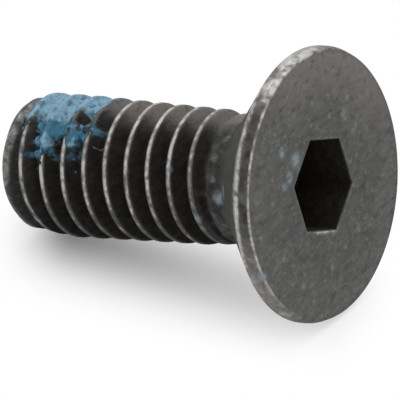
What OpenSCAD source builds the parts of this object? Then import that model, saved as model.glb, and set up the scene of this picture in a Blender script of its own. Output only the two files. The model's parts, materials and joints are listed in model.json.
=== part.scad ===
// Countersunk socket screw with a dried thread-lock patch, lying on its side.
// The screw is drawn upright on its own axis, tip at the origin and head on top,
// and is then laid on the floor, resting on its head rim and on its first thread.

/* [Head] */
// Diameter over the head rim
head_d = 7.7; // [6.6:0.01:9]
// Height of the rim between the flat face and the cone
rim_h = 0.4; // [0.3:0.02:0.6]
// Height of the bevel between the rim and the face
rim_bevel_h = 0.2; // [0.1:0.02:0.26]
// Width of the bevel between the rim and the face
rim_bevel_w = 0.075; // [0.04:0.005:0.15]
// Full angle of the countersunk cone
cone_angle = 98; // [86:1:106]

/* [Socket] */
// Width of the hexagon across its flats
socket_af = 2.5; // [2:0.1:3]
// Depth of the hexagon's walls below the face
socket_depth = 1.75; // [1.2:0.05:1.9]
// Full angle of the drilled cone at the bottom of the socket
socket_bottom_angle = 120; // [110:1:130]
// Depth of the broken edge round the mouth of the socket
socket_chamfer = 0.05; // [0.02:0.01:0.12]
// Turn of the hexagon about the axis, a corner pointing down at 0
socket_turn = 9; // [0:0.5:59.5]

/* [Shank] */
// Length from the face of the head to the tip
length = 9.75; // [8:0.25:16]
// Step from the last full crest down to the plain neck
neck_step = 0.075; // [0.04:0.005:0.16]
// Length over which the last crest runs down to the neck
neck_run = 0.5; // [0.3:0.05:0.8]
// Length of the plain neck between the cone and the last crest
neck_l = 0.64; // [0.5:0.01:1]
// Radius of the fillet between the cone and the neck
neck_fillet_r = 0.25; // [0.1:0.05:0.4]
// Diameter of the flat at the tip
tip_d = 3; // [2.6:0.1:3.2]
// Length of the lead-in taper at the tip
tip_taper = 0.35; // [0.2:0.05:0.5]

/* [Thread] */
// Diameter over the thread crests next to the tip
thread_d = 3.98; // [3.7:0.02:4.2]
// Height that the crests lose towards the head, where the rolled thread is not full
crest_drop = 0.095; // [0.02:0.005:0.12]
// Length over which the crests lose that height
crest_drop_l = 4.6; // [2:0.1:5]
// Distance between neighbouring threads
pitch = 0.7; // [0.6:0.05:0.8]
// Full angle between the flanks of the groove
thread_angle = 60; // [55:1:65]
// Width of the flat on each crest
crest_w = 0.14; // [0.08:0.01:0.2]
// Width of the flat at the bottom of the groove
root_w = 0.08; // [0.04:0.01:0.12]
// Turns over which the groove fades out into the neck
fade_turns = 0.6; // [0.4:0.1:1]
// Distance from the cone to the point where the groove ends
fade_gap = 0.48; // [0.4:0.01:0.6]
// Turn of the thread about the axis
thread_turn = 122; // [0:1:359]

/* [Thread-lock patch] */
// Distance from the lead-in taper to the start of the patch
patch_gap = 0.1; // [0.05:0.05:0.5]
// Length of the patch along the screw
patch_l = 2.8; // [1.5:0.1:4]
// Width of the patch across the screw
patch_w = 3.4; // [2:0.1:3.6]
// Radius of the corners of the patch
patch_corner_r = 0.7; // [0.3:0.1:0.7]
// Height that the dried film stands over the crests
film_t = 0.03; // [0.02:0.01:0.06]
// Turn of the patch from the top of the screw towards its near side
patch_turn = 8; // [-20:1:30]

/* [Hidden] */
$fn = 96;
// Facets in one turn of the thread
segments = 30;
// Length by which cutting shapes reach past the surface that they cut
spare = 0.2;

head_r = head_d / 2;
face_r = head_r - rim_bevel_w;
crest_r = thread_d / 2;
last_crest_r = crest_r - crest_drop;
neck_r = last_crest_r - neck_step;
tip_r = tip_d / 2;
cone_end = length - rim_h - (head_r - neck_r) / tan(cone_angle / 2);
crest_end = cone_end - neck_l;
last_crest = crest_end - neck_run;
drop_start = max(tip_taper + spare, last_crest - crest_drop_l);
fillet_tangent = neck_fillet_r * tan(cone_angle / 4);

socket_corner_r = socket_af / sqrt(3);
mouth_corner_r = (socket_af + 2 * socket_chamfer) / sqrt(3);
socket_bottom_h = socket_af / 2 / tan(socket_bottom_angle / 2);

flank = tan(thread_angle / 2);
thread_depth = (pitch - crest_w - root_w) / 2 / flank;
root_r = crest_r - thread_depth;

// Lying on the floor, the axis rises from the first crest to the rim's lower edge.
tilt = atan((head_r - crest_r) / (length - rim_h - tip_taper));
axis_h = crest_r * cos(tilt) - tip_taper * sin(tilt);
x_low = -tip_r * sin(tilt);
x_high = length * cos(tilt) + face_r * sin(tilt);

// Half of the head and shank section, without the socket and the thread groove.
module section() {
    polygon([
        [0, 0],
        [tip_r, 0],
        [crest_r, tip_taper],
        [crest_r, drop_start],
        [last_crest_r, last_crest],
        [neck_r, crest_end],
        [neck_r, cone_end],
        [head_r, length - rim_h],
        [head_r, length - rim_bevel_h],
        [face_r, length],
        [0, length],
    ]);
    neck_fillet();
}

// Fillet that fills the corner between the neck and the cone.
module neck_fillet() {
    difference() {
        polygon([
            [neck_r, cone_end],
            [neck_r, cone_end - fillet_tangent],
            [
                neck_r + fillet_tangent * sin(cone_angle / 2),
                cone_end + fillet_tangent * cos(cone_angle / 2)
            ],
        ]);
        translate([neck_r + neck_fillet_r, cone_end - fillet_tangent]) circle(neck_fillet_r);
    }
}

// Hexagonal driver socket with a drilled bottom and a broken edge at its mouth.
module socket() {
    rotate([0, 0, socket_turn]) {
        translate([0, 0, length - socket_depth]) {
            cylinder(h = socket_depth + spare, r = socket_corner_r, $fn = 6);
            mirror([0, 0, 1]) cylinder(h = socket_bottom_h, r1 = socket_af / 2, r2 = 0);
        }
        translate([0, 0, length - socket_chamfer])
            cylinder(h = 2 * socket_chamfer, r1 = socket_corner_r,
                     r2 = 2 * mouth_corner_r - socket_corner_r, $fn = 6);
    }
}

// The groove is swept along its helix, from below the tip to the point where it
// has lifted out of the neck. A station is its section at one turn of the helix.
start_turns = -1.5;
end_turns = (cone_end - fade_gap) / pitch - 0.5;
stations = ceil((end_turns - start_turns) * segments);

function turn_at(i) = start_turns + i * (end_turns - start_turns) / stations;

function lift_at(turns) = thread_depth * max(0, 1 - (end_turns - turns) / fade_turns);

// The groove sinks as the crests do, so its depth stays the same along the thread.
function drop_at(along) = crest_drop * min(1, max(0, (along - drop_start) / (last_crest - drop_start)));

function station(turns) = let (
    angle = 360 * turns + thread_turn,
    middle = pitch * (turns + 0.5),
    inner = root_r + lift_at(turns) - drop_at(middle),
    outer = crest_r + spare,
    inner_half = root_w / 2,
    outer_half = inner_half + (outer - inner) * flank,
    corners = [
        [inner, -inner_half],
        [inner, inner_half],
        [outer, outer_half],
        [outer, -outer_half],
    ]
) [for (c = corners) [c[0] * cos(angle), c[0] * sin(angle), middle + c[1]]];

module thread_groove() {
    points = [for (i = [0 : stations]) each station(turn_at(i))];
    sides = [for (i = [0 : stations - 1], k = [0 : 3]) let (
        a = 4 * i + k,
        b = 4 * i + (k + 1) % 4
    ) each [[a, a + 4, b], [b, a + 4, b + 4]]];
    last = 4 * stations;
    ends = [[0, 1, 2], [0, 2, 3], [last, last + 2, last + 1], [last, last + 3, last + 2]];
    polyhedron(points, concat(sides, ends));
}

// The whole screw, upright on its axis. The seam of its turned surface is a quarter turn
// from the floor line, on the far side.
module upright_screw() {
    difference() {
        rotate([0, 0, 90]) rotate_extrude() section();
        socket();
        thread_groove();
    }
}

// Lays an upright shape on the floor, with the middle of its box over the origin.
module lay_down() {
    translate([-(x_low + x_high) / 2, 0, axis_h]) rotate([0, 90 - tilt, 0]) children();
}

module screw() {
    color([0.16, 0.155, 0.15]) lay_down() upright_screw();
}

// Rounded outline of the patch, seen along the radius that it is centred on.
module patch_outline() {
    inner_w = patch_w - 2 * patch_corner_r;
    inner_l = patch_l - 2 * patch_corner_r;
    translate([-inner_w / 2, patch_corner_r]) {
        for (x = [0, inner_w], y = [0, inner_l]) translate([x, y]) circle(patch_corner_r);
        translate([-patch_corner_r, 0]) square([patch_w, inner_l]);
        translate([0, -patch_corner_r]) square([inner_w, patch_l]);
    }
}

// Dried film that fills the grooves under its outline and just covers the crests.
module thread_lock_patch() {
    color([0.23, 0.45, 0.6]) lay_down() difference() {
        intersection() {
            cylinder(h = length, r = crest_r + film_t);
            rotate([0, 0, 180 + patch_turn]) rotate([90, 0, 90])
                translate([0, tip_taper + patch_gap]) linear_extrude(crest_r + spare) patch_outline();
        }
        upright_screw();
    }
}

screw();
thread_lock_patch();
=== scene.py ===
import json
import math

import bpy
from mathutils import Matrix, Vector, noise


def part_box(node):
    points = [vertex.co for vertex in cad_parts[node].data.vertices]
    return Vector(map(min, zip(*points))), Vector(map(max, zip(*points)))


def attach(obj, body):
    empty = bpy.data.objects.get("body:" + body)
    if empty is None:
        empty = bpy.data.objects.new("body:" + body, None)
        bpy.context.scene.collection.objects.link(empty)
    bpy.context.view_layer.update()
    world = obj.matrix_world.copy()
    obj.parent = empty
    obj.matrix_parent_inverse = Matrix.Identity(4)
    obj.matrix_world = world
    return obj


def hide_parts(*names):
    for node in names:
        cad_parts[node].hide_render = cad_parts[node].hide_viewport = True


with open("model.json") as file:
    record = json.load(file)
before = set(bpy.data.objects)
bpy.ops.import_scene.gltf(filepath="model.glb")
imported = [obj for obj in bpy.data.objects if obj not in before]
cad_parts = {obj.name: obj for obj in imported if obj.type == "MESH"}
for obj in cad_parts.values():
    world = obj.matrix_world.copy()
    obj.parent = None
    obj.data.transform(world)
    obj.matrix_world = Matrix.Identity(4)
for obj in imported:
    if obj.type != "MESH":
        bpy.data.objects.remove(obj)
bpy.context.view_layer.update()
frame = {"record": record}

# Screw
# One piece of steel. The head and its socket are cold forged, the thread is rolled, and a hot oxide
# bath turns the whole screw black. Use has rubbed the crests, the rim and the socket's mouth bare. Its
# colour also holds painted shade in the grooves, neck, socket and under the head, and painted light on
# the shank's top side, the rim's top and the lower edge of the socket's mouth.

# Places on the screw are given along its axis from the tip, as a turn in degrees from the top towards
# the near side, and out from the axis. Sizes are in millimetres.
mm = 0.001
mounts = {mount["name"]: mount for mount in frame["record"]["mounts"]}
tip_centre = Vector(mounts["thread"]["pos_m"])
face_centre = Vector(mounts["hex_socket"]["pos_m"])
axis_along = (face_centre - tip_centre).normalized()
axis_near = Vector((0, -1, 0))
axis_up = axis_near.cross(axis_along)

length = (face_centre - tip_centre).length / mm
# Radii at the ends of the part's box are smaller by the sag of a facet, so that they stay inside it.
facet_sag = 0.005
head_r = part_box("screw")[1].y / mm - facet_sag
rim_h = 0.4
rim_bevel_h = 0.2
rim_bevel_w = 0.075
rim_bevel_r = 0.1
face_r = head_r - rim_bevel_w
face_edge_r = 0.05
seat_edge_r = 0.05
tip_r = 1.5 - facet_sag
tip_taper = 0.35
crest_r = mounts["thread"]["dims"]["r_mm"]
crest_drop = 0.095
crest_drop_l = 4.6
neck_step = 0.075
neck_run = 0.5
neck_l = 0.64
neck_r = crest_r - crest_drop - neck_step
neck_fillet_r = 0.25
cone_half_angle = math.radians(49)
cone_end = length - rim_h - (head_r - neck_r) / math.tan(cone_half_angle)
crest_end = cone_end - neck_l
last_crest = crest_end - neck_run
drop_start = last_crest - crest_drop_l
shank_end = cone_end - neck_fillet_r * math.tan(cone_half_angle / 2)

pitch = 0.7
thread_depth = 0.416
start_short = 0.16
root_r = crest_r - thread_depth
root_round = 0.04
crest_round = 0.03
run_out_round = 0.3
nick_depth = 0.02
flank_angle = math.radians(30)
flank_slope = math.tan(flank_angle)
thread_turn = -58.0
fade_turns = 0.6
fade_gap = 0.48
last_turn = (cone_end - fade_gap) / pitch - 0.5

socket_half = 1.25
socket_depth = mounts["hex_socket"]["dims"]["length_mm"]
socket_turn = 9.0
mouth_round = 0.05
drill_edge = 0.985
drill_half_angle = math.radians(60)
drill_h = socket_half / math.tan(drill_half_angle)


def on_screw(along, turn, out):
    angle = math.radians(turn)
    across = axis_up * math.cos(angle) + axis_near * math.sin(angle)
    return tip_centre + (axis_along * along + across * out) * mm


def part_way(value, start, end):
    return min(max((value - start) / (end - start), 0.0), 1.0)


def ramp(value, start, end):
    share = part_way(value, start, end)
    return share * share * (3 - 2 * share)


def smooth_min(first, second, width):
    blend = max(width - abs(first - second), 0.0) / width
    return min(first, second) - blend * blend * width / 4


def thread_drop(along):
    return crest_drop * part_way(along, drop_start, last_crest)


def side_share(turn, middle, half_width):
    away = abs((turn - middle + 180) % 360 - 180)
    return 1 - ramp(away, half_width * 0.4, half_width)


# The first turn of the thread is not rolled to its full height on the lower near side.
def plain_radius(along, turn):
    short = start_short * ramp(along, -0.2, 0.3) * (1 - ramp(along, 0.4, 1.7)) * side_share(turn, 160, 85)
    if along < tip_taper:
        return tip_r + (crest_r - tip_r) * along / tip_taper - short
    return crest_r - thread_drop(along) - neck_step * part_way(along, last_crest, crest_end) - short


def groove_radius(along, turn):
    lowest = crest_r + pitch
    helix = (turn - thread_turn) / 360
    nearest = math.floor(along / pitch - 0.5 - helix)
    for number in (nearest, nearest + 1):
        turns = number + helix
        if turns < last_turn:
            lift = thread_depth * max(0.0, 1 - (last_turn - turns) / fade_turns)
            middle = pitch * (turns + 0.5)
            rise = (math.hypot(along - middle, root_round) - root_round) / flank_slope
            lowest = min(lowest, root_r + lift - thread_drop(middle) + rise)
    return lowest


def shank_radius(along, turn):
    blend = crest_round + run_out_round * ramp(along, last_crest, crest_end)
    return smooth_min(plain_radius(along, turn), groove_radius(along, turn), blend)


# Specks of dried thread lock that rubbed off on the face, the rim, the neck and two crests, and scuffs
# that bared the steel: along, turn, out and radius.
smears = [
    (length, 42, 1.63, 0.32),
    (length, 44, 2.33, 0.24),
    (length, 60, 1.75, 0.25),
    (length, 68, 1.96, 0.2),
    (length, 109, 3.75, 0.24),
    (7.48, 83, 1.82, 0.3),
    (7.83, 75, 1.95, 0.3),
    (6.54, 104, 1.85, 0.26),
    (5.9, 61, 1.92, 0.14),
    (1.04, 120, crest_r, 0.22),
]
scuffs = [
    (length, -22, 2.45, 0.14),
    (length, -45, 2.61, 0.14),
    (length, -47, 2.13, 0.26),
    (length, -27, 1.93, 0.14),
    (length, -66, 2.01, 0.16),
    (length, -146, 2.22, 0.18),
    (length, 115, 2.72, 0.14),
    (length, 132, 3.08, 0.14),
    (length, 142, 2.9, 0.14),
    (length, 173, 2.41, 0.15),
    (length, -167, 2.16, 0.12),
    (7.22, 48, 1.82, 0.16),
    (7.26, 67, 1.82, 0.14),
    (7.41, 28, 1.82, 0.18),
    (6.62, 116, 1.85, 0.16),
]


def spots_of(table):
    return [(on_screw(along, turn, out), radius * mm) for along, turn, out, radius in table]


smear_spots = spots_of(smears)
scuff_spots = spots_of(scuffs)


def spot_share(spots, place):
    return max(0.0, max(1 - (place - middle).length / radius for middle, radius in spots))


screw_points = []
screw_marks = {"rubbed": [], "sooty": [], "browned": [], "smeared": [], "scuffed": []}
screw_faces = []


def add_point(along, turn, out, rubbed=0.0, sooty=0.0, browned=0.0, dusty=0.0):
    place = on_screw(along, turn, out)
    screw_points.append(place)
    screw_marks["rubbed"].append(rubbed)
    screw_marks["sooty"].append(sooty)
    screw_marks["browned"].append(browned)
    screw_marks["smeared"].append(max(spot_share(smear_spots, place), dusty))
    screw_marks["scuffed"].append(spot_share(scuff_spots, place))
    return len(screw_points) - 1


columns = 216
column_turns = [socket_turn + 360 * column / columns for column in range(columns)]


def join_rings(first, second):
    for column in range(columns):
        after = (column + 1) % columns
        screw_faces.append((first[column], first[after], second[after], second[column]))


# The flat tip, from its middle out to the edge of the lead-in taper, a little darkened with painted shade.
tip_middle = add_point(0.0, 0.0, 0.0, sooty=0.3)
tip_rings = []
for out in (0.3, 0.6, 0.9, 1.2, 1.38):
    tip_rings.append([add_point(0.0, turn, out, rubbed=0.1, sooty=0.3) for turn in column_turns])
for column in range(columns):
    screw_faces.append((tip_middle, tip_rings[0][(column + 1) % columns], tip_rings[0][column]))
for inner, outer in zip(tip_rings, tip_rings[1:]):
    join_rings(inner, outer)

# The shank. Rows of points follow the thread, closer together at the edges of crest and root.
crest_steps = (0.02, 0.04, 0.055, 0.07, 0.085, 0.11, 0.16, 0.21, 0.26, 0.29, 0.31, 0.33)
row_steps = [-step for step in reversed(crest_steps)] + [0.0, *crest_steps, pitch / 2]
row_gap = 0.012


def row_places(first_thread, last_thread):
    return [pitch * thread + step for thread in range(first_thread, last_thread) for step in row_steps]


def helix_shift(turn):
    return pitch * (turn - thread_turn) / 360


def crest_offset(along, turn):
    threads = (along - helix_shift(turn)) / pitch
    return pitch * abs(threads - round(threads))


# Wear bares a narrow line on each crest, most on the near side, and a band round the end of the lead-in
# taper. The flanks, grooves and neck are darkened with painted shade, partly the unworn black of the oxide
# in the grooves, and the shank's top side is lightened and browned with painted light.
def add_shank_point(along, turn):
    out = shank_radius(along, turn)
    place = on_screw(along, turn, crest_r) / mm
    stained = (1 - ramp(along, 3.3, 3.8)) * side_share(turn, 45, 55)
    painted_top_light = side_share(turn, -26, 58) * (1 - 0.8 * stained)
    near = side_share(turn, 38, 82)
    nicks = 0.3 * noise.noise(place * 1.6) + 0.4 * noise.noise(place * 4.5) + 0.25 * noise.noise(place * 8)
    filmed = (1 - ramp(along, 3.0, 3.6)) * side_share(turn, -20, 80)
    crest = 1 - ramp(crest_offset(along, turn), 0.01, 0.09)
    crest *= ramp(along, 0.45, 0.6) * (1 - ramp(along, last_crest + 0.1, last_crest + 0.2))
    worn = crest * (0.12 + 0.63 * near + 1.2 * nicks) * (1 - 0.8 * filmed)
    worn *= 1 - 0.4 * ramp(along, last_crest - 0.2, last_crest + 0.1)
    lead_in = ramp(along, 0.25, 0.34) * (1 - ramp(along, 0.4, 0.48)) * (0.15 + 0.3 * near)
    last_line = helix_shift(turn) + pitch * math.floor((crest_end - helix_shift(turn) - 0.15) / pitch)
    run_out = ramp(along - last_line, 0.3, 0.62)
    neck = ramp(along, crest_end - 0.3, crest_end + 0.1)
    flank = ramp(crest_offset(along, turn), 0.055, 0.1) * (1 - neck)
    groove = max(flank, ramp(plain_radius(along, turn) - out, 0.0, 0.04)) * ramp(along, 0.38, 0.5)
    groove *= (0.6 + 0.4 * ramp(along, 0.6, 1.4)) * (1 - run_out)
    sooty = max(groove, max(neck, run_out) * (0.6 + 0.6 * nicks)) * (1 - 0.85 * painted_top_light)
    out -= crest * nick_depth * ramp(noise.noise(place * 2.3), 0.1, 0.7)
    dusty = 0.24 * neck * ramp(noise.fractal(place * 3.5, 0.6, 2.0, 4), -0.1, 0.7) * (1 - painted_top_light)
    return add_point(along, turn, out, max(worn, lead_in * (1 + nicks)), sooty, painted_top_light, dusty)


rows = row_places(-1, math.ceil(shank_end / pitch) + 2)
tip_edge = [add_shank_point(0.0, turn) for turn in column_turns]
neck_ring = [add_shank_point(shank_end, turn) for turn in column_turns]
shank_rows = []
for column, turn in enumerate(column_turns):
    points = []
    for row in rows:
        along = row + helix_shift(turn)
        if along < row_gap:
            points.append(tip_edge[column])
        elif along > shank_end - row_gap:
            points.append(neck_ring[column])
        else:
            points.append(add_shank_point(along, turn))
    shank_rows.append(points)
threads_end = [neck_ring[0]] * len(row_steps)
shank_rows.append(shank_rows[0][len(row_steps):] + threads_end)
for left, right in zip(shank_rows, shank_rows[1:]):
    for row in range(len(rows) - 1):
        corners = (left[row], right[row], right[row + 1], left[row + 1])
        corners = tuple(dict.fromkeys(corners))
        if len(corners) > 2:
            screw_faces.append(corners)
join_rings(tip_rings[-1], tip_edge)


# The cone, the rim and the edge of the face are one turned outline with rounded corners.
def rounded_corner(before, corner, after, radius, steps):
    inward = (corner - before).normalized()
    outward = (after - corner).normalized()
    bend = inward.angle(outward)
    start = corner - inward * radius * math.tan(bend / 2)
    side = (outward - inward * math.cos(bend)) / math.sin(bend)
    angles = [bend * step / steps for step in range(steps + 1)]
    return [start + (inward * math.sin(a) + side * (1 - math.cos(a))) * radius for a in angles]


def between(start, end, count):
    return [start.lerp(end, step / (count + 1)) for step in range(1, count + 1)]


neck_start = Vector((neck_r, shank_end))
cone_start = Vector((neck_r, cone_end))
seat_edge = Vector((head_r, length - rim_h))
bevel_edge = Vector((head_r, length - rim_bevel_h))
face_edge = Vector((face_r, length))
face_inner = Vector((socket_half, length))
neck_arc = rounded_corner(neck_start, cone_start, seat_edge, neck_fillet_r, 6)
seat_arc = rounded_corner(cone_start, seat_edge, bevel_edge, seat_edge_r, 5)
bevel_arc = rounded_corner(seat_edge, bevel_edge, face_edge, rim_bevel_r, 3)
face_arc = rounded_corner(bevel_edge, face_edge, face_inner, face_edge_r, 5)


# Wear has bared the rim's lower edge and the edge of the face. Between them the rim's land is bright at its
# top near side, partly bare steel and partly a painted reflection of the light from above, darkened with
# painted shade at the near side, brown below that and grey on top. The cone under the head is darkened
# with painted shade.
def add_ring(outline_point):
    along = outline_point.y
    cone = 1 - ramp(along, length - 0.8, length - 0.4)
    seat_wear = ramp(along, length - 0.7, length - 0.42) * (1 - ramp(along, length - 0.36, length - 0.22))
    edge_wear = ramp(along, length - 0.06, length - 0.005)
    land = ramp(along, length - 0.42, length - 0.34)
    ring = []
    for turn in column_turns:
        place = on_screw(along, turn, outline_point.x) / mm
        nicks = 0.5 * noise.noise(place * 2.5) + 0.6 * noise.noise(place * 6)
        near = side_share(turn, 45, 95)
        silver_and_painted_light = 0.65 * side_share(turn, 8, 34) + 0.3 * side_share(turn, 118, 42)
        silver_and_painted_light = (silver_and_painted_light + 0.22 * side_share(turn, -40, 60)) * (1 + nicks)
        edges = seat_wear * (0.25 + 0.4 * near + 0.3 * side_share(turn, 66, 26)) * (1 + 1.3 * nicks)
        edges = max(edges, edge_wear * 0.6 * side_share(turn, 60, 110) * (1 + nicks))
        rubbed = max(edges, land * silver_and_painted_light)
        sooty = max(0.45 * cone, (0.6 + 0.7 * nicks) * land * side_share(turn, 55, 75) * (1 - silver_and_painted_light))
        sooty *= 1 - edges
        browned = 0.6 * land * side_share(turn, 80, 80)
        ring.append(add_point(along, turn, outline_point.x, rubbed, sooty, browned))
    return ring


head_rings = [neck_ring]
for point in neck_arc[1:] + between(neck_arc[-1], seat_arc[0], 18):
    head_rings.append(add_ring(point))
for point in seat_arc + between(seat_arc[-1], bevel_arc[0], 2):
    head_rings.append(add_ring(point))
for point in bevel_arc + between(bevel_arc[-1], face_arc[0], 5) + face_arc:
    head_rings.append(add_ring(point))


# The face runs in from its round edge to the hexagon, and the socket's walls run down to a drilled cone.
def hexagon(turn, half_width):
    from_corner = (turn - socket_turn) % 60
    return half_width / math.cos(math.radians(from_corner - 30))


face_count = 40
face_start = face_arc[-1].x
for step in range(1, face_count + 1):
    share = step / face_count
    ring = []
    for turn in column_turns:
        mouth = hexagon(turn, socket_half + mouth_round)
        out = face_start + (mouth - face_start) * share
        nicks = 0.5 * noise.noise(on_screw(length, turn, out) / mm * 5)
        edge_wear = (0.6 + nicks) * (1 - ramp(face_start - out, 0.0, 0.07)) * side_share(turn, 60, 110)
        # The wear round the socket's mouth is strongest along its lower edge, where the bare steel is also
        # a painted highlight.
        mouth_wear_and_highlight = (0.2 + 0.4 * side_share(turn, 165, 34)) * (1 - ramp(out - mouth, 0.0, 0.12))
        # The face turns lighter and browner towards its edge, most on its top side.
        browned = ramp(out, 1.6, 3.8) * (0.17 + 0.55 * side_share(turn, -25, 70))
        ring.append(add_point(length, turn, out, max(edge_wear, mouth_wear_and_highlight), browned=browned))
    head_rings.append(ring)
# The mouth's rounding, the walls and the drilled cone are darkened to near black with painted shade.
for drop in (0.3, 0.6, 1.0):
    angle = math.radians(90 * drop)
    ring = []
    for turn in column_turns:
        out = hexagon(turn, socket_half + mouth_round * (1 - math.sin(angle)))
        along = length - mouth_round * (1 - math.cos(angle))
        ring.append(add_point(along, turn, out, rubbed=0.3 - 0.3 * drop, sooty=drop))
    head_rings.append(ring)
for depth in (0.1, 0.25, 0.5, 0.9, 1.3, socket_depth):
    ring = [add_point(length - depth, turn, hexagon(turn, socket_half), sooty=1.0) for turn in column_turns]
    head_rings.append(ring)
for share in (drill_edge, 0.75, 0.5, 0.25):
    along = length - socket_depth - drill_h * (drill_edge - share)
    head_rings.append([add_point(along, turn, socket_half * share, sooty=1.0) for turn in column_turns])
for first, second in zip(head_rings, head_rings[1:]):
    join_rings(first, second)
drill_point = add_point(length - socket_depth - drill_h, 0.0, 0.0, sooty=1.0)
for column in range(columns):
    screw_faces.append((head_rings[-1][column], head_rings[-1][(column + 1) % columns], drill_point))


def make_piece(name, points, faces, marks, sharp_angle):
    mesh = bpy.data.meshes.new(name)
    mesh.from_pydata(points, [], faces)
    for mark, values in marks.items():
        mesh.attributes.new(mark, "FLOAT", "POINT").data.foreach_set("value", values)
    mesh.shade_smooth()
    mesh.set_sharp_from_angle(angle=math.radians(sharp_angle))
    piece = bpy.data.objects.new(name, mesh)
    bpy.context.scene.collection.objects.link(piece)
    return piece


screw = make_piece("screw_body", screw_points, screw_faces, screw_marks, 40)
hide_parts("screw")
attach(screw, "root")


# Mottled grain, used in the finish of the steel and of the film: a mask from noise of one grain size.
def add_node(tree, kind, **settings):
    node = tree.nodes.new(kind)
    for name, value in settings.items():
        setattr(node, name, value)
    return node


grain = bpy.data.node_groups.new("grain", "ShaderNodeTree")
grain.interface.new_socket("Grains per metre", in_out="INPUT", socket_type="NodeSocketFloat")
grain.interface.new_socket("Low", in_out="INPUT", socket_type="NodeSocketFloat")
grain.interface.new_socket("High", in_out="INPUT", socket_type="NodeSocketFloat")
grain.interface.new_socket("Mask", in_out="OUTPUT", socket_type="NodeSocketFloat")
grain_in = add_node(grain, "NodeGroupInput")
grain_out = add_node(grain, "NodeGroupOutput")
grain_place = add_node(grain, "ShaderNodeTexCoord")
grain_stretch = add_node(grain, "ShaderNodeMapping")
grain_stretch.inputs["Scale"].default_value = (1.0, 0.6, 1.0)
grain_noise = add_node(grain, "ShaderNodeTexNoise")
grain_noise.inputs["Detail"].default_value = 4.0
grain_noise.inputs["Roughness"].default_value = 0.6
grain_range = add_node(grain, "ShaderNodeMapRange", interpolation_type="SMOOTHSTEP")
grain.links.new(grain_place.outputs["Object"], grain_stretch.inputs["Vector"])
grain.links.new(grain_stretch.outputs["Vector"], grain_noise.inputs["Vector"])
grain.links.new(grain_in.outputs["Grains per metre"], grain_noise.inputs["Scale"])
grain.links.new(grain_noise.outputs["Fac"], grain_range.inputs["Value"])
grain.links.new(grain_in.outputs["Low"], grain_range.inputs["From Min"])
grain.links.new(grain_in.outputs["High"], grain_range.inputs["From Max"])
grain.links.new(grain_range.outputs["Result"], grain_out.inputs["Mask"])


def new_finish(name):
    finish = bpy.data.materials.new(name)
    finish.use_nodes = True
    finish.node_tree.nodes.clear()
    return finish, finish.node_tree


def grain_mask(tree, size, low, high):
    node = add_node(tree, "ShaderNodeGroup", node_tree=grain)
    node.inputs["Grains per metre"].default_value = 1 / (size * mm)
    node.inputs["Low"].default_value = low
    node.inputs["High"].default_value = high
    return node.outputs["Mask"]


def mark_value(tree, mark):
    return add_node(tree, "ShaderNodeAttribute", attribute_name=mark).outputs["Fac"]


def feed(tree, socket, value):
    if isinstance(value, bpy.types.NodeSocket):
        tree.links.new(value, socket)
    else:
        socket.default_value = value


def maths(tree, operation, first, second):
    node = add_node(tree, "ShaderNodeMath", operation=operation)
    feed(tree, node.inputs[0], first)
    feed(tree, node.inputs[1], second)
    return node.outputs[0]


def span(tree, value, low, high):
    node = add_node(tree, "ShaderNodeMapRange", interpolation_type="SMOOTHSTEP")
    feed(tree, node.inputs["Value"], value)
    node.inputs["From Min"].default_value = low
    node.inputs["From Max"].default_value = high
    return node.outputs["Result"]


def mixed(tree, share, first, second):
    node = add_node(tree, "ShaderNodeMix", data_type="RGBA")
    feed(tree, node.inputs["Factor"], share)
    feed(tree, node.inputs["A"], (*first, 1.0) if isinstance(first, tuple) else first)
    feed(tree, node.inputs["B"], (*second, 1.0) if isinstance(second, tuple) else second)
    return node.outputs["Result"]


def bumped(tree, height, depth):
    node = add_node(tree, "ShaderNodeBump")
    node.inputs["Distance"].default_value = depth * mm
    feed(tree, node.inputs["Height"], height)
    return node.outputs["Normal"]


oxide_dark = (0.060, 0.061, 0.059)
oxide_light = (0.100, 0.101, 0.098)
brown_and_painted_light_oxide = (0.215, 0.196, 0.184)
oxide_speck = (0.21, 0.21, 0.20)
black_for_shade_and_specks = (0.012, 0.0095, 0.0075)
painted_shade_grey = (0.030, 0.026, 0.023)
bare_steel = (0.48, 0.465, 0.445)
pale_smear = (0.23, 0.285, 0.315)

black_oxide, tree = new_finish("black_oxide_steel")
sooty = mark_value(tree, "sooty")
colour = mixed(tree, grain_mask(tree, 0.32, 0.25, 0.75), oxide_dark, oxide_light)
# Painted light: the shank's top side is lightened towards a light brown; on the rim and the face the same
# mark is a brown tint.
colour = mixed(tree, maths(tree, "MULTIPLY", mark_value(tree, "browned"), 0.8), colour, brown_and_painted_light_oxide)
colour = mixed(tree, maths(tree, "MULTIPLY", grain_mask(tree, 0.13, 0.5, 0.75), 0.6), colour, oxide_speck)
colour = mixed(tree, maths(tree, "MULTIPLY", grain_mask(tree, 0.17, 0.5, 0.25), 0.5), colour, black_for_shade_and_specks)
# Painted shade, partly the unworn black of the oxide in the grooves: near black with a grain, on the
# grooves, neck, tip, socket and the cone under the head.
painted_shade_colour = mixed(tree, grain_mask(tree, 0.2, 0.35, 0.8), black_for_shade_and_specks, painted_shade_grey)
colour = mixed(tree, sooty, colour, painted_shade_colour)
scuffed = maths(tree, "MULTIPLY", mark_value(tree, "scuffed"), grain_mask(tree, 0.14, 0.3, 0.6))
colour = mixed(tree, maths(tree, "MULTIPLY", span(tree, scuffed, 0.0, 0.6), 0.6), colour, oxide_speck)
chipped = maths(tree, "ADD", grain_mask(tree, 0.15, 0.25, 0.75), 0.5)
rubbed = maths(tree, "MULTIPLY", mark_value(tree, "rubbed"), chipped)
bare = span(tree, rubbed, 0.05, 0.95)
colour = mixed(tree, bare, colour, bare_steel)
smeared = maths(tree, "MULTIPLY", mark_value(tree, "smeared"), grain_mask(tree, 0.2, 0.2, 0.65))
colour = mixed(tree, maths(tree, "MULTIPLY", span(tree, smeared, 0.0, 0.7), 0.9), colour, pale_smear)
metal = add_node(tree, "ShaderNodeBsdfPrincipled")
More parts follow.
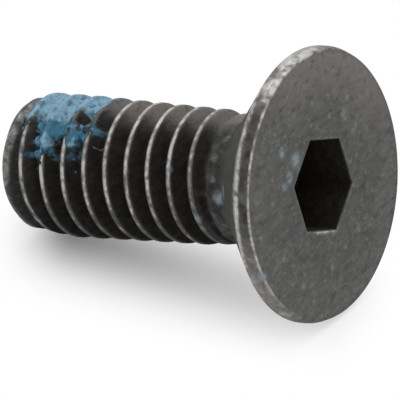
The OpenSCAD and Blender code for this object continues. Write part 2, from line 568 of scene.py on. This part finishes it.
metal.inputs["Specular IOR Level"].default_value = 0.18
tree.links.new(colour, metal.inputs["Base Color"])
tree.links.new(maths(tree, "MULTIPLY", bare, 0.8), metal.inputs["Metallic"])
dulled = maths(tree, "ADD", 0.55, maths(tree, "MULTIPLY", sooty, 0.4))
polished = maths(tree, "MULTIPLY", bare, 0.15)
tree.links.new(maths(tree, "SUBTRACT", dulled, polished), metal.inputs["Roughness"])
tree.links.new(bumped(tree, grain_mask(tree, 0.07, 0.2, 0.8), 0.012), metal.inputs["Normal"])
tree.links.new(metal.outputs["BSDF"], add_node(tree, "ShaderNodeOutputMaterial").inputs["Surface"])
screw.data.materials.append(black_oxide)

# Thread-lock patch
# A film of blue thread-lock compound, brushed on the thread near the tip and left to dry. It fills the
# grooves unevenly, thins to nothing at a ragged edge and has flaked off in places.
film_start = 0.4
film_end = 3.8
film_top_end = 2.95
film_near_extra = 0.75
film_far_turn = -86
film_turns = (-95, 72)
film_columns = 168
film_over = 0.003
film_sunk = 0.012
film_below = 0.14
film_lumps = 0.03
film_skin = 0.003
film_skin_lumps = 0.008
film_blend = 0.06
film_least = -0.25
film_fade = 0.12

# The near edge of the film, as along and turn. Then the places where it has flaked off, and one where it is
# a darker blue: middle along and turn, half the length and half the turn, and a weight.
film_edge = [
    (0.4, 10), (0.6, 27), (0.72, 40), (0.9, 41), (1.1, 50), (1.25, 60), (1.45, 62), (1.7, 57), (2.0, 58),
    (2.3, 61), (2.6, 59), (2.85, 56), (3.05, 50), (3.3, 45), (3.55, 42), (3.8, 38),
]
film_holes = [
    (0.98, 24, 0.34, 12, 1.3),
    (1.04, 39, 0.28, 12, 1.4),
    (2.02, 46, 0.34, 10, 2.0),
    (2.44, 17, 0.34, 12, 1.6),
    (3.2, 22, 0.45, 12, 1.3),
    (3.3, 38, 0.35, 9, 0.6),
    (2.62, 47, 0.3, 10, 0.7),
]
film_dark = (1.85, 33, 0.5, 12, 0.8)


def edge_turn(along):
    for (first, first_turn), (second, second_turn) in zip(film_edge, film_edge[1:]):
        if along <= second:
            return first_turn + (second_turn - first_turn) * part_way(along, first, second)
    return film_edge[-1][1]


def hole_share(hole, along, turn):
    middle, middle_turn, half_length, half_turn, weight = hole
    away = math.hypot((along - middle) / half_length, (turn - middle_turn) / half_turn)
    return weight * max(1 - away, 0.0)


# The film is whole some way in from its edges, and reaches further towards the head on the near side. Past
# the second thread it is patchy there, and the crests have been rubbed clean.
def film_cover(along, turn):
    place = on_screw(along, turn, crest_r) / mm
    ragged = 0.65 * noise.fractal(place * 3.0, 0.7, 2.0, 5)
    head_end = film_top_end + film_near_extra * ramp(turn, 12, 28)
    inside = min(
        (edge_turn(along) - turn + 3) / 20,
        (turn - film_far_turn) / 14,
        (along - film_start) / 0.25,
        (head_end - along) / 0.3,
    )
    hole = max(hole_share(hole, along, turn) for hole in film_holes)
    crest = 1 - ramp(crest_offset(along, turn), 0.04, 0.12)
    near = ramp(turn, 2, 24)
    thinned = near * (0.2 * ramp(along, 1.9, 2.3) + 0.3 * ramp(along, 2.8, 3.2))
    rubbed_off = 0.6 * crest * ramp(along, 1.9, 2.3) * near
    return min(inside, 1.0) - hole - thinned - rubbed_off + ragged


film_turn_step = (film_turns[1] - film_turns[0]) / film_columns
film_rows = row_places(-1, math.ceil(film_end / pitch) + 2)
film_spots = {}
for column in range(film_columns + 1):
    turn = film_turns[0] + film_turn_step * column
    for row, place in enumerate(film_rows):
        along = place + helix_shift(turn)
        if film_start < along < film_end:
            film_spots[column, row] = (along, turn, film_cover(along, turn))

film_points = []
film_marks = {"film": [], "pale": []}
film_faces = []
film_numbers = {}


def add_film_point(spot):
    if spot not in film_numbers:
        along, turn, cover = film_spots[spot]
        under = shank_radius(along, turn)
        lump = noise.fractal(on_screw(along, turn, under) / mm * 3.5, 0.8, 2.0, 4)
        level = root_r + (thread_depth - film_below + film_lumps * lump) * ramp(cover, 0.0, 0.9)
        lumpy_skin = film_skin + film_skin_lumps * ramp(lump, -0.3, 0.6)
        thin = under + film_skin + lumpy_skin * ramp(cover, 0.0, 0.3)
        bared = 1 - ramp(cover, film_least, film_least + film_fade)
        out = -smooth_min(-level, -thin, film_blend) - film_sunk * bared
        film_numbers[spot] = len(film_points)
        film_points.append(on_screw(along, turn, min(out, crest_r + film_over)))
        film_points.append(on_screw(along, turn, under - 2 * film_sunk))
        # The film is paler on its top side with painted top light and along a narrow streak on the near
        # side with a painted highlight; lumps make it paler at random, and one patch is a darker blue.
        pale = 0.95 * (1 - ramp(turn, 14, 36)) + 0.35 * side_share(turn, 44, 10) + 0.5 * lump
        pale -= hole_share(film_dark, along, turn)
        film_marks["film"] += [ramp(cover, -0.3, 0.9), 0.0]
        film_marks["pale"] += [pale, 0.0]
    return film_numbers[spot]


def cell_spots(column, row):
    return [(column, row), (column + 1, row), (column + 1, row + 1), (column, row + 1)]


film_cells = set()
for cell in film_spots:
    covers = [film_spots[spot][2] for spot in cell_spots(*cell) if spot in film_spots]
    if len(covers) == 4 and max(covers) > film_least:
        film_cells.add(cell)

# Where two cells of the film would meet at one corner alone, a third one joins them.
for column, row in sorted(film_cells):
    for beside in (column - 1, column + 1):
        apart = film_cells.isdisjoint([(column, row + 1), (beside, row)])
        if apart and (beside, row + 1) in film_cells:
            film_cells.add((column, row + 1))

# Each point of the film's outer side is followed by the one below it on its inner side.
film_edges = set()
for cell in sorted(film_cells):
    corners = [add_film_point(spot) for spot in cell_spots(*cell)]
    film_faces.append(corners)
    film_faces.append([corner + 1 for corner in reversed(corners)])
    film_edges.update(zip(corners, corners[1:] + corners[:1]))
for start, end in sorted(film_edges):
    if (end, start) not in film_edges:
        film_faces.append([end, start, start + 1, end + 1])

film = make_piece("thread_lock_film", film_points, film_faces, film_marks, 50)
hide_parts("thread_lock_patch")
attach(film, "root")

film_stain = (0.014, 0.0145, 0.0145)
thin_film_painted_light = (0.105, 0.115, 0.120)
film_thick = (0.042, 0.158, 0.250)
film_pale_and_painted_light_blue = (0.225, 0.385, 0.505)

dried_film, tree = new_finish("dried_thread_lock")
uneven = maths(tree, "MULTIPLY", maths(tree, "SUBTRACT", grain_mask(tree, 0.2, 0.25, 0.75), 0.5), 1.3)
weight = span(tree, maths(tree, "ADD", mark_value(tree, "film"), uneven), 0.05, 1.0)
blotched = maths(tree, "MULTIPLY", maths(tree, "SUBTRACT", grain_mask(tree, 0.28, 0.3, 0.7), 0.5), 1.1)
# Where thin the film is near black, and grey on its top side with painted light; where thick it is blue,
# lighter on the top side and along a near streak with painted light.
pale = span(tree, maths(tree, "ADD", mark_value(tree, "pale"), blotched), 0.1, 0.9)
colour = mixed(tree, weight, mixed(tree, pale, film_stain, thin_film_painted_light), film_thick)
colour = mixed(tree, maths(tree, "MULTIPLY", pale, weight), colour, film_pale_and_painted_light_blue)
compound = add_node(tree, "ShaderNodeBsdfPrincipled")
compound.inputs["Specular IOR Level"].default_value = 0.25
compound.inputs["Roughness"].default_value = 0.6
tree.links.new(colour, compound.inputs["Base Color"])
tree.links.new(bumped(tree, grain_mask(tree, 0.1, 0.2, 0.8), 0.02), compound.inputs["Normal"])
tree.links.new(compound.outputs["BSDF"], add_node(tree, "ShaderNodeOutputMaterial").inputs["Surface"])
film.data.materials.append(dried_film)

# Floor and light
# A white table that runs on past the picture, one large soft lamp overhead and a little behind, and
# white surroundings that fill the shadows. Away from the screw the table is overexposed to plain white.
floor_size = 4.0
floor_white = (0.96, 0.96, 0.96)
floor_mesh = bpy.data.meshes.new("floor")
reach = floor_size / 2
floor_corners = [(-reach, -reach, 0), (reach, -reach, 0), (reach, reach, 0), (-reach, reach, 0)]
floor_mesh.from_pydata(floor_corners, [], [(0, 1, 2, 3)])
floor = bpy.data.objects.new("floor", floor_mesh)
bpy.context.scene.collection.objects.link(floor)
white_table, tree = new_finish("white_table")
table = add_node(tree, "ShaderNodeBsdfDiffuse")
table.inputs["Color"].default_value = (*floor_white, 1.0)
glare = add_node(tree, "ShaderNodeEmission")
glare.inputs["Color"].default_value = (1.0, 1.0, 1.0, 1.0)
shade_middle = (-9.66 * mm, -0.1 * mm, 0.0)
shade_reach = (27.5 * mm, 4.56 * mm, 1.0)
table_place = add_node(tree, "ShaderNodeTexCoord").outputs["Object"]
shade_place = add_node(tree, "ShaderNodeMapping", vector_type="TEXTURE")
shade_place.inputs["Location"].default_value = shade_middle
shade_place.inputs["Scale"].default_value = shade_reach
tree.links.new(table_place, shade_place.inputs["Vector"])
shade_away = add_node(tree, "ShaderNodeVectorMath", operation="LENGTH")
tree.links.new(shade_place.outputs["Vector"], shade_away.inputs[0])
table_axes = add_node(tree, "ShaderNodeSeparateXYZ")
tree.links.new(table_place, table_axes.inputs["Vector"])


# The glare also comes in across a slanted line past the tip and one past the head: the line's slope, and
# where the glare starts and is full.
tip_glare = (0.51, -3.53, -6.49)
head_glare = (0.26, 4.77, 6.7)


def glare_past(tree, slope, start, end):
    slanted = maths(tree, "MULTIPLY", table_axes.outputs["Y"], slope)
    across = maths(tree, "ADD", table_axes.outputs["X"], slanted)
    return span(tree, across, start * mm, end * mm)


def joined(tree, first, second):
    return maths(tree, "ADD", first, maths(tree, "MULTIPLY", second, maths(tree, "SUBTRACT", 1.0, first)))


glare_share = span(tree, shade_away.outputs["Value"], 0.0, 1.0)
glare_share = joined(tree, glare_share, glare_past(tree, *tip_glare))
glare_share = joined(tree, glare_share, glare_past(tree, *head_glare))


def seen_directly(tree):
    rays = add_node(tree, "ShaderNodeLightPath")
    seen = maths(tree, "MAXIMUM", rays.outputs["Is Camera Ray"], rays.outputs["Is Glossy Ray"])
    return maths(tree, "MAXIMUM", seen, rays.outputs["Is Transmission Ray"])


whitened = maths(tree, "MULTIPLY", glare_share, seen_directly(tree))
table_top = add_node(tree, "ShaderNodeMixShader")
tree.links.new(whitened, table_top.inputs["Fac"])
tree.links.new(table.outputs["BSDF"], table_top.inputs[1])
tree.links.new(glare.outputs["Emission"], table_top.inputs[2])
tree.links.new(table_top.outputs["Shader"], add_node(tree, "ShaderNodeOutputMaterial").inputs["Surface"])
floor_mesh.materials.append(white_table)

lamp_aim = Vector((0.0, 0.35, 0.94)).normalized()
lamp_away = 0.3
lamp_size = 0.4
lamp_watts = 0.4
lamp_data = bpy.data.lights.new("soft_lamp", "AREA")
lamp_data.shape = "DISK"
lamp_data.size = lamp_size
lamp_data.energy = lamp_watts
lamp = bpy.data.objects.new("soft_lamp", lamp_data)
lamp.location = lamp_aim * lamp_away
lamp.rotation_mode = "QUATERNION"
lamp.rotation_quaternion = lamp_aim.to_track_quat("Z", "Y")
lamp.visible_camera = False
bpy.context.scene.collection.objects.link(lamp)

# Seen directly or in a reflection the surroundings are white, while their fill light is weaker.
fill_strength = 0.7
world = bpy.data.worlds.new("studio")
world.use_nodes = True
bpy.context.scene.world = world
tree = world.node_tree
tree.nodes.clear()
surroundings = add_node(tree, "ShaderNodeBackground")
surroundings.inputs["Color"].default_value = (1.0, 1.0, 1.0, 1.0)
strength = maths(tree, "MAXIMUM", seen_directly(tree), fill_strength)
tree.links.new(strength, surroundings.inputs["Strength"])
world_out = add_node(tree, "ShaderNodeOutputWorld")
tree.links.new(surroundings.outputs["Background"], world_out.inputs["Surface"])
bpy.context.scene.view_settings.view_transform = "Standard"

# Camera
# A long lens on the near side of the head, looking down at the table, with the middle of the head's
# face where the photograph shows it.
camera_azimuth = math.radians(32.034)
camera_elevation = math.radians(28.145)
camera_away = 0.4
picture_width = 11.0429 * mm
face_right = 3.4123 * mm
face_up = 0.4130 * mm
camera_back = Vector((
    math.sin(camera_azimuth) * math.cos(camera_elevation),
    -math.cos(camera_azimuth) * math.cos(camera_elevation),
    math.sin(camera_elevation),
))
camera_right = Vector((math.cos(camera_azimuth), math.sin(camera_azimuth), 0))
camera_up = camera_back.cross(camera_right)
camera_data = bpy.data.cameras.new("camera")
camera_data.sensor_width = 36.0
camera_data.lens = camera_data.sensor_width * camera_away / picture_width
camera = bpy.data.objects.new("camera", camera_data)
camera.location = face_centre - camera_right * face_right - camera_up * face_up + camera_back * camera_away
camera.rotation_mode = "QUATERNION"
camera.rotation_quaternion = camera_back.to_track_quat("Z", "Y")
bpy.context.scene.collection.objects.link(camera)
bpy.context.scene.camera = camera
